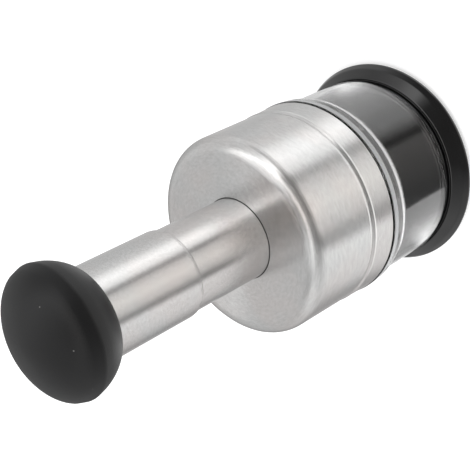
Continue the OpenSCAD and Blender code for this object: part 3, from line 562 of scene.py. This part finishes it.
class CHOPPER_OT_knob(bpy.types.Operator):
    """Soft knob over its hard core"""

    bl_idname = "chopper.knob"
    bl_label = "Knob"

    def execute(self, context):
        c = context.scene.chopper_colours
        knob, core, sleeve = span("knob_grip"), span("knob_core"), span("press_sleeve")
        above, under = 16.1, 15.0
        mid = knob.top - above
        lean_below, lean_dome = 1.265, 1.149  # powers that draw the two quarter ovals leaner than round
        steps = 30
        quarter = [math.pi / 2 * i / steps for i in range(steps + 1)]
        below = [(sleeve.r + (knob.r - sleeve.r) * math.cos(t) ** lean_below,
                  mid - under * math.sin(t) ** lean_below) for t in reversed(quarter[7:steps])]
        dome = [(knob.r * math.cos(t) ** lean_dome, mid + above * math.sin(t)) for t in quarter[5:steps]]
        # a soft ridge runs round the widest line; its rounding takes the place of the ovals' steps beside it
        ridge = [(knob.r + 0.25, mid + 0.1, 2.9)]
        hollow = [(0, core.top), (core.r - 7.5, core.top, 0.3), (core.r, core.top - 6, 0.3),
                  (core.r, sleeve.top, 0.5), (sleeve.r, sleeve.top), (sleeve.r, mid - under)]
        bm = turned(hollow + below + ridge + dome + [(0, knob.top)], closed=False, support=0)
        grip = soft_rubber("knob_soft_rubber_moulded", c.rubber, 0.45, 0.0007, 0.35)
        finished(bm, "knob_rubber", grip, "knob_grip")
        return {"FINISHED"}


class CHOPPER_OT_drive(bpy.types.Operator):
    """Twisted rod and its return spring"""

    bl_idname = "chopper.drive"
    bl_label = "Rod and spring"

    def execute(self, context):
        s, c = in_mm(context), context.scene.chopper_colours
        rod, coil = span("drive_rod"), span("return_spring")
        # cold-drawn stainless steel: bright, with fine rings from the polishing cloth
        steel = machined_steel("bright_stainless_rod", c.bright, 0.22, 0.0005)
        travel = 38.0  # of the press joint
        square_low, square_top, aligned, rate = 89.0, 139.0, 92.0, 45 / travel  # rate in degrees a millimetre
        corner, sunk = rod.r - 0.23, 0.2
        stem = corner / math.sqrt(2) - 0.05
        collar_low, collar_top, collar_r = 189.8, 193.8, stem + 1.65
        clip_low, clip_top, clip_r = 200.2, 201.4, stem - 0.9
        bm = turned([(0, rod.low), (rod.r, rod.low, 0.5), (rod.r, square_low, 0.8), (0, square_low)],
                    closed=False, steps=72)
        bar = bmesh.new()
        start = square_low - sunk
        bmesh.ops.create_circle(bar, segments=4, radius=corner,
                                matrix=Matrix.Translation((0, 0, start))
                                @ Matrix.Rotation(math.radians(rate * (start - aligned) + 45), 4, "Z"))
        bmesh.ops.bevel(bar, geom=bar.verts[:], affect="VERTICES", offset=0.35, segments=3, profile=0.5,
                        material=-1)
        tall, steps = square_top - square_low + 2 * sunk, 100
        bmesh.ops.spin(bar, geom=bar.verts[:] + bar.edges[:], axis=(0, 0, 1), dvec=(0, 0, tall / steps),
                       angle=math.radians(rate * tall), steps=steps)
        bmesh.ops.holes_fill(bar, edges=[e for e in bar.edges if e.is_boundary])
        upper = turned([(0, square_top), (stem, square_top), (stem, collar_low), (collar_r, collar_low, 0.3),
                        (collar_r, collar_top, 0.3), (stem, collar_top), (stem, clip_low), (clip_r, clip_low),
                        (clip_r, clip_top), (stem, clip_top), (stem, rod.top, 0.4), (0, rod.top)],
                       closed=False, steps=60)
        for part in (bar, upper):
            joined(bm, part)
        finished(bm, "twisted_rod", steel, "drive_rod", sharp=30)
        wire = s.wire / 2
        mean = coil.r - wire
        bm = bmesh.new()
        bmesh.ops.create_circle(bm, segments=14, radius=wire,
                                matrix=Matrix.Translation((mean, 0, coil.low + wire))
                                @ Matrix.Rotation(math.pi / 2, 4, "X"))
        last, rise = bm.verts[:] + bm.edges[:], coil.top - coil.low - 2 * wire
        # the turns lie close at both ends and open between them; each share is of the spring's rise
        for turns, share in ((1.25, 0.03), (9.5, 0.94), (1.25, 0.03)):
            steps = round(turns * 36)
            last = bmesh.ops.spin(bm, geom=last, axis=(0, 0, 1), dvec=(0, 0, rise * share / steps),
                                  angle=math.tau * turns, steps=steps)["geom_last"]
        bmesh.ops.holes_fill(bm, edges=[e for e in bm.edges if e.is_boundary])
        # drawn spring wire: a little duller, with drawing marks along it
        spring = finished(bm, "coil_spring", machined_steel("spring_wire_drawn", c.bright, 0.28, 0.002),
                          "return_spring")
        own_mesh(spring)
        return {"FINISHED"}


class CHOPPER_OT_blades(bpy.types.Operator):
    """Blade carrier and the folded zigzag blade"""

    bl_idname = "chopper.blades"
    bl_label = "Blades"

    def execute(self, context):
        s, c = in_mm(context), context.scene.chopper_colours
        disc, blade = span("blade_carrier"), span("zigzag_blade")
        low, top = disc.low, disc.low + 4.0
        bore, hub_r, vent_r, vent_at = 5.65, 10.0, 7.0, disc.r - 10
        bm = bmesh.new()
        bmesh.ops.create_circle(bm, segments=144, radius=disc.r, matrix=Matrix.Translation((0, 0, low)))
        bmesh.ops.create_circle(bm, segments=48, radius=bore, matrix=Matrix.Translation((0, 0, low)))
        for side in (90, 270):
            for step in (-34, 0, 34):
                a = math.radians(side + step)
                bmesh.ops.create_circle(bm, segments=48, radius=vent_r, matrix=Matrix.Translation(
                    (vent_at * math.cos(a), vent_at * math.sin(a), low)))
        bmesh.ops.triangle_fill(bm, edges=bm.edges[:], use_beauty=True)
        bmesh.ops.dissolve_limit(bm, angle_limit=math.radians(1), verts=bm.verts[:], edges=bm.edges[:])
        raised = bmesh.ops.extrude_face_region(bm, geom=bm.faces[:], use_keep_orig=True)["geom"]
        bmesh.ops.translate(bm, vec=(0, 0, top - low), verts=moved_verts(raised))
        bmesh.ops.recalc_face_normals(bm, faces=bm.faces[:])
        rims = [e for e in bm.edges if e.is_manifold and e.calc_face_angle(0) > 1]
        bmesh.ops.bevel(bm, geom=rims, affect="EDGES", offset=0.4, segments=3, profile=0.5, material=-1)
        hub = turned([(bore, top - 0.5), (hub_r, top - 0.5), (hub_r, disc.top, 0.5), (bore, disc.top, 0.3)],
                     steps=96)
        joined(bm, hub)
        # acetal: smooth, dense white with a soft gloss
        white = moulded_plastic("white_acetal_moulded", c.white, 0.35, 0.004)
        finished(bm, "carrier_disc", white, "blade_carrier")

        half, amp = blade.r, 12.0
        zig = [Vector((x * half, y * amp)) for x, y in ((-1, -0.55), (-0.7, 1), (-0.37, -1), (0, 1), (0.37, -1),
                                                        (0.7, 1), (1, -0.55))]
        legs = [(second - first).normalized() for first, second in zip(zig, zig[1:])]
        sides = []
        for side in (1, -1):
            row = []
            for i, point in enumerate(zig):
                one, two = legs[max(i - 1, 0)], legs[min(i, len(legs) - 1)]
                normal = Vector((-one.y, one.x))
                mitre = (normal + Vector((-two.y, two.x))).normalized()
                row.append(point + mitre * (side * s.blade / 2 / mitre.dot(normal)))
            sides += row if side > 0 else reversed(row)
        bm = bmesh.new()
        ring = [bm.verts.new((p.x, p.y, blade.top)) for p in sides]
        for first, second in zip(ring, ring[1:] + ring[:1]):
            bm.edges.new((first, second))
        bends = [v for i, v in enumerate(ring) if i % len(zig) not in (0, len(zig) - 1)]
        bmesh.ops.bevel(bm, geom=bends, affect="VERTICES", offset=0.35, segments=3, profile=0.5, material=-1)
        sheet = bmesh.ops.edgenet_fill(bm, edges=bm.edges[:])["faces"]
        lower = bmesh.ops.extrude_face_region(bm, geom=sheet, use_keep_orig=True)["geom"]
        bmesh.ops.translate(bm, vec=(0, 0, blade.low + s.ground - blade.top), verts=moved_verts(lower))
        bmesh.ops.recalc_face_normals(bm, faces=bm.faces[:])
        sole = [f for f in bm.faces if f.normal.z < -0.9]
        edge = 0.06  # half the width that grinding leaves at the cutting edge
        bmesh.ops.inset_region(bm, faces=sole, thickness=s.blade / 2 - edge, depth=s.ground, use_even_offset=True)
        # hardened stainless strip, ground: bright, with fine grinding lines along it
        finished(bm, "zigzag_knife", machined_steel("blade_stainless_ground", c.bright, 0.2, 0.0004),
                 "zigzag_blade")
        return {"FINISHED"}


class CHOPPER_OT_insides(bpy.types.Operator):
    """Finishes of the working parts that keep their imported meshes"""

    bl_idname = "chopper.insides"
    bl_label = "Working parts"

    def execute(self, context):
        c = context.scene.chopper_colours
        # polypropylene: soft-looking white with broad, shallow waves
        white = moulded_plastic("liner_polypropylene_moulded", c.white, 0.4, 0.006)
        # acetal turned on a lathe: smoother and glossier than the liner
        bush = moulded_plastic("bush_acetal_turned", c.white, 0.3, 0.003)
        # glass-filled nylon: dull grey, the core's a little duller still
        grey = moulded_plastic("lock_ring_nylon_moulded", c.grey, 0.45, 0.003)
        core = moulded_plastic("knob_core_nylon_moulded", c.grey, 0.5, 0.003)
        # bearing bronze and stainless steel off the lathe: bright, with the tool's rings on them
        bronze = machined_steel("nut_bronze_turned", c.brass, 0.3, 0.0004)
        steel = machined_steel("fastener_stainless_turned", c.bright, 0.25, 0.0004)
        rubber = bpy.data.materials["seal_rubber_moulded"]
        for cad_node, material in (
                ("bell_liner", white), ("lock_ring", grey), ("shaft_bush", bush), ("index_nut", bronze),
                ("nut_cover", bush), ("cover_screws", steel), ("spring_seat", steel), ("stop_bumper", rubber),
                ("knob_core", core), ("pocket_lid", core), ("thrust_washer", steel), ("rod_clip", steel),
                ("hub_screw", steel)):
            finish_node(cad_node, material)
        return {"FINISHED"}


# ---------------------------------------------------------------- studio


# The light tent, from the floor up: the elevations in degrees between which each ring fades in over the one
# below, and its brightness at azimuths counted from the camera's side
TENT = (
    # the floor round the object
    (-89, -88, (
        (-180, 1.8), (-160, 2.3), (-60, 2.3), (-40, 1.85), (45, 1.85), (100, 1.4), (180, 1.8))),
    # the ring that the clear guard mirrors to the camera
    (-54.5, -53.5, (
        (-180, 0.8), (-144, 1.5), (-120, 1.6), (-90, 1.1), (-67, 1.1), (-65.5, 0.13), (-45, 0.18), (0, 0.32),
        (8, 0.34), (12, 0.2), (16, 0.08), (20, 0.14), (24, 0.28), (32, 0.58), (40, 0.78), (54, 0.8), (70, 0.9),
        (100, 0.95), (112, 1.1), (124, 1.45), (150, 1.3), (180, 1.0))),
    # white table and its seams, drawn out in the brushed steel
    (-48.2, -47.2, (
        (-180, 0.85), (-166, 0.92), (-158, 0.76), (-151, 0.5), (-144, 0.36), (-136, 0.36), (-124, 0.67),
        (-104, 0.94), (-60, 1.18), (-57, 1.04), (-51, 0.4), (-45, 0.31), (-30, 0.95), (-8, 1.42), (8, 1.22),
        (18, 1.04), (26, 0.43), (30, 0.46), (40, 1.5), (56, 2.15), (68, 1.75), (82, 0.97), (104, 0.75),
        (140, 0.73), (164, 0.75), (180, 0.6))),
    # the room past the table's edge
    (-29, -25, (
        (-180, 0.25), (-150, 0.3), (-135, 0.5), (-90, 1.0), (-60, 1.2), (-49, 1.2), (-44, 0.45), (-38, 0.42),
        (-28, 1.0), (-12, 1.2), (8, 1.1), (17, 0.65), (22, 0.42), (28, 0.7), (36, 1.6), (60, 1.65), (75, 1.25),
        (90, 1.05), (140, 0.6), (180, 0.25))),
    # darker behind the camera, at its height
    (-17, -9, (
        (-180, 0.4), (-110, 0.95), (-65, 0.8), (-40, 0.3), (0, 0.25), (50, 0.3), (70, 0.6), (90, 1.0),
        (140, 0.65), (180, 0.4))),
    # dark over the camera, with a soft box to its right
    (4, 20, (
        (-180, 0.74), (-130, 0.75), (-110, 1.1), (-95, 1.2), (-67, 0.75), (-36, 0.28), (0, 0.24), (30, 0.3),
        (38, 0.9), (46, 2.3), (56, 2.1), (66, 1.4), (78, 1.1), (95, 0.8), (120, 0.85), (150, 0.9), (180, 0.76))),
    # the bright panels under the ceiling
    (45, 49, (
        (-180, 0.75), (-140, 0.55), (-110, 0.65), (-85, 1.3), (-60, 2.4), (-40, 2.9), (0, 3.1), (30, 3.0),
        (60, 3.3), (80, 3.0), (100, 2.5), (150, 1.7), (180, 1.0))),
    # the ceiling and its middle, dark on the camera's side
    (57, 61, (
        (-180, 0.85), (-100, 1.0), (-60, 0.55), (-30, 0.22), (0, 0.2), (28, 0.35), (45, 1.0), (60, 1.4),
        (100, 1.5), (150, 1.3), (180, 0.9))),
    (74, 82, (
        (-180, 0.9), (-60, 0.8), (-30, 0.35), (0, 0.4), (30, 0.7), (45, 1.2), (60, 1.4), (90, 1.2),
        (180, 0.9))))


class CHOPPER_OT_stage(bpy.types.Operator):
    """Camera at the picture's angle, pale floor, light tent and lamps"""

    bl_idname = "chopper.stage"
    bl_label = "Studio"

    def execute(self, context):
        scene, c = context.scene, context.scene.chopper_colours
        camera = bpy.data.objects.new("camera", bpy.data.cameras.new("camera"))
        scene.collection.objects.link(camera)
        camera.data.lens, camera.data.sensor_width = 79.946, 36.0  # millimetres
        # the directions of the picture's right and top and of the way back to the viewer, as fitted
        right, up = (-0.46296732, -0.55874999, -0.68808409), (0.88636509, -0.2955756, -0.35635936)
        back = (-0.00426508, -0.77487645, 0.63209833)
        turn = Matrix((right, up, back)).transposed().to_4x4()
        camera.matrix_world = Matrix.Translation((0.0, -0.35735, 0.40081)) @ turn
        camera.data.clip_start, camera.data.clip_end = 0.01, 20
        scene.camera = camera
        scene.view_settings.view_transform = "Standard"

        bm = bmesh.new()
        half, drop = 2.5, 0.0003  # metres
        bmesh.ops.create_grid(bm, x_segments=8, y_segments=8, size=half)
        bmesh.ops.translate(bm, vec=(0, 0, -drop), verts=bm.verts[:])
        mesh = bpy.data.meshes.new("studio_floor")
        bm.to_mesh(mesh)
        bm.free()
        floor = bpy.data.objects.new("studio_floor", mesh)
        scene.collection.objects.link(floor)
        mesh.materials.append(self.paper(c.floor))

        for name, place, size, power in (("lamp_left", (-0.75, -0.35, 1.0), 0.8, 3.2),
                                         ("lamp_right", (0.85, -0.1, 0.95), 0.8, 2.2)):
            light = bpy.data.lights.new(name, "AREA")
            light.shape, light.size, light.energy = "SQUARE", size, power
            lamp = bpy.data.objects.new(name, light)
            scene.collection.objects.link(lamp)
            lamp.location = place
            lamp.rotation_euler = (Vector((0, 0, 0.1)) - Vector(place)).to_track_quat("-Z", "Y").to_euler()
            lamp.visible_glossy = False
            lamp.visible_camera = False
        self.tent(scene)
        return {"FINISHED"}

    def paper(self, tint):
        """Matte paper floor. It is lifted to white for the camera and keeps the object's soft shadow; metal
        and gloss look past it to the tent."""
        made, tree, shader = surface("floor_paper_matte")
        tree.nodes.remove(shader)
        path = add(tree, "ShaderNodeLightPath")
        place = add(tree, "ShaderNodeTexCoord").outputs["Object"]
        fibre = add(tree, "ShaderNodeTexNoise", {"Vector": place, "Scale": 900.0}).outputs["Fac"]
        shade = add(tree, "ShaderNodeMapRange", {0: fibre, 3: 0.99, 4: 1.0})
        tone = add(tree, "ShaderNodeVectorMath", {0: tuple(tint), 3: shade.outputs[0]}, operation="SCALE")
        matte = add(tree, "ShaderNodeBsdfDiffuse", {"Color": tone.outputs[0]})
        lift = add(tree, "ShaderNodeEmission", {"Color": (1, 1, 1, 1), "Strength": 0.46})
        seen = add(tree, "ShaderNodeMath", {0: path.outputs["Is Camera Ray"],
                                            1: path.outputs["Is Transmission Ray"]}, operation="MAXIMUM")
        none = add(tree, "ShaderNodeEmission", {"Strength": 0.0})
        glow = add(tree, "ShaderNodeMixShader", {0: seen.outputs[0], 1: none.outputs[0], 2: lift.outputs[0]})
        lit = add(tree, "ShaderNodeAddShader", {0: matte.outputs[0], 1: glow.outputs[0]})
        gone = add(tree, "ShaderNodeBsdfTransparent")
        glossy = add(tree, "ShaderNodeMath", {0: path.outputs["Glossy Depth"], 1: 0.5}, operation="GREATER_THAN")
        under = add(tree, "ShaderNodeNewGeometry")
        away = add(tree, "ShaderNodeMath", {0: glossy.outputs[0], 1: under.outputs["Backfacing"]},
                   operation="MAXIMUM")
        both = add(tree, "ShaderNodeMixShader", {0: away.outputs[0], 1: lit.outputs[0], 2: gone.outputs[0]})
        tree.links.new(both.outputs[0], tree.nodes["Material Output"].inputs["Surface"])
        return made

    def ramp(self, tree, turn, stops):
        """Brightness round the tent, from (azimuth, brightness) stops; a little warm near the camera's side."""
        made = add(tree, "ShaderNodeValToRGB", {0: turn})
        elements = made.color_ramp.elements
        while len(elements) > 1:
            elements.remove(elements[0])
        elements[0].position = 0
        elements[0].color = (stops[0][1],) * 3 + (1,)
        for azimuth, bright in stops[1:]:
            warm = 0.035 * max(0.0, 1 - abs(azimuth + 8) / 50)
            elements.new((azimuth + 180) / 360).color = (bright * (1 + warm), bright, bright * (1 - warm), 1)
        return made.outputs[0]

    def tent(self, scene):
        """White behind the object; plain even light on matte surfaces; for gloss and metal a light tent whose
        walls are bright panels with darker gaps between them."""
        world = bpy.data.worlds.new("light_tent")
        scene.world = world
        world.use_nodes = True
        tree = world.node_tree
        out = tree.nodes["World Output"]
        tree.nodes.remove(tree.nodes["Background"])
        path = add(tree, "ShaderNodeLightPath")
        ray = add(tree, "ShaderNodeTexCoord").outputs["Generated"]
        xyz = add(tree, "ShaderNodeSeparateXYZ", {0: ray})
        front = add(tree, "ShaderNodeMath", {0: xyz.outputs[1], 1: -1.0}, operation="MULTIPLY")
        angle = add(tree, "ShaderNodeMath", {0: xyz.outputs[0], 1: front.outputs[0]}, operation="ARCTAN2")
        turn = add(tree, "ShaderNodeMapRange", {0: angle.outputs[0], 1: -math.pi, 2: math.pi, 3: 0.0, 4: 1.0})
        height = add(tree, "ShaderNodeMath", {0: xyz.outputs[2]}, operation="ARCSINE")
        rings = None
        for low, high, stops in TENT:
            ring = self.ramp(tree, turn.outputs[0], stops)
            fade = add(tree, "ShaderNodeMapRange", {0: height.outputs[0], 1: math.radians(low),
                                                    2: math.radians(high), 3: 0.0, 4: 1.0},
                       interpolation_type="SMOOTHSTEP")
            rings = ring if rings is None else add(tree, "ShaderNodeMix", {0: fade.outputs[0], 6: rings, 7: ring},
                                                   data_type="RGBA").outputs[2]
        inside = add(tree, "ShaderNodeBackground", {"Color": rings, "Strength": 1.0})
        lit_from = (-0.61, 0.51, 0.61)
        toward = add(tree, "ShaderNodeVectorMath", {0: ray, 1: lit_from}, operation="DOT_PRODUCT")
        soft = add(tree, "ShaderNodeMapRange", {0: toward.outputs["Value"], 1: -0.7, 2: 1.0, 3: 0.1, 4: 1.55})
        even = add(tree, "ShaderNodeBackground", {"Color": (1, 1, 1, 1), "Strength": soft.outputs[0]})
        white = add(tree, "ShaderNodeBackground", {"Color": (1, 1, 1, 1), "Strength": 1.0})
        seen = add(tree, "ShaderNodeMath", {0: path.outputs["Is Camera Ray"],
                                            1: path.outputs["Is Transmission Ray"]}, operation="MAXIMUM")
        plain = add(tree, "ShaderNodeMixShader", {0: seen.outputs[0], 1: even.outputs[0], 2: white.outputs[0]})
        glossy = add(tree, "ShaderNodeMath", {0: path.outputs["Glossy Depth"], 1: 0.5}, operation="GREATER_THAN")
        diffuse = add(tree, "ShaderNodeMath", {0: path.outputs["Diffuse Depth"], 1: 0.5}, operation="LESS_THAN")
        shiny = add(tree, "ShaderNodeMath", {0: glossy.outputs[0], 1: diffuse.outputs[0]}, operation="MULTIPLY")
        all_of = add(tree, "ShaderNodeMixShader", {0: shiny.outputs[0], 1: plain.outputs[0], 2: inside.outputs[0]})
        tree.links.new(all_of.outputs[0], out.inputs["Surface"])


# ---------------------------------------------------------------- panel and run


PIECES = (CHOPPER_OT_base, CHOPPER_OT_guard, CHOPPER_OT_housing, CHOPPER_OT_tubes, CHOPPER_OT_knob,
          CHOPPER_OT_drive, CHOPPER_OT_blades, CHOPPER_OT_insides, CHOPPER_OT_stage)


class CHOPPER_PT_pieces(bpy.types.Panel):
    """Lists the chopper's sizes, colours and pieces"""

    bl_idname = "CHOPPER_PT_pieces"
    bl_label = "Vegetable chopper"
    bl_space_type = "VIEW_3D"
    bl_region_type = "UI"
    bl_category = "Chopper"

    def draw(self, context):
        for group in (context.scene.chopper_sizes, context.scene.chopper_colours):
            box = self.layout.box()
            for key in group.__annotations__:
                box.prop(group, key)
        for piece in PIECES:
            self.layout.operator(piece.bl_idname)


CLASSES = (ChopperSizes, ChopperColours, *PIECES, CHOPPER_PT_pieces)


def register():
    for cls in CLASSES:
        bpy.utils.register_class(cls)
    bpy.types.Scene.chopper_sizes = PointerProperty(type=ChopperSizes)
    bpy.types.Scene.chopper_colours = PointerProperty(type=ChopperColours)


def unregister():
    del bpy.types.Scene.chopper_colours
    del bpy.types.Scene.chopper_sizes
    for cls in reversed(CLASSES):
        bpy.utils.unregister_class(cls)


def main():
    register()
    bpy.ops.chopper.base()
    bpy.ops.chopper.guard()
    bpy.ops.chopper.housing()
    bpy.ops.chopper.tubes()
    bpy.ops.chopper.knob()
    bpy.ops.chopper.drive()
    bpy.ops.chopper.blades()
    bpy.ops.chopper.insides()
    bpy.ops.chopper.stage()


if __name__ == "__main__":
    main()
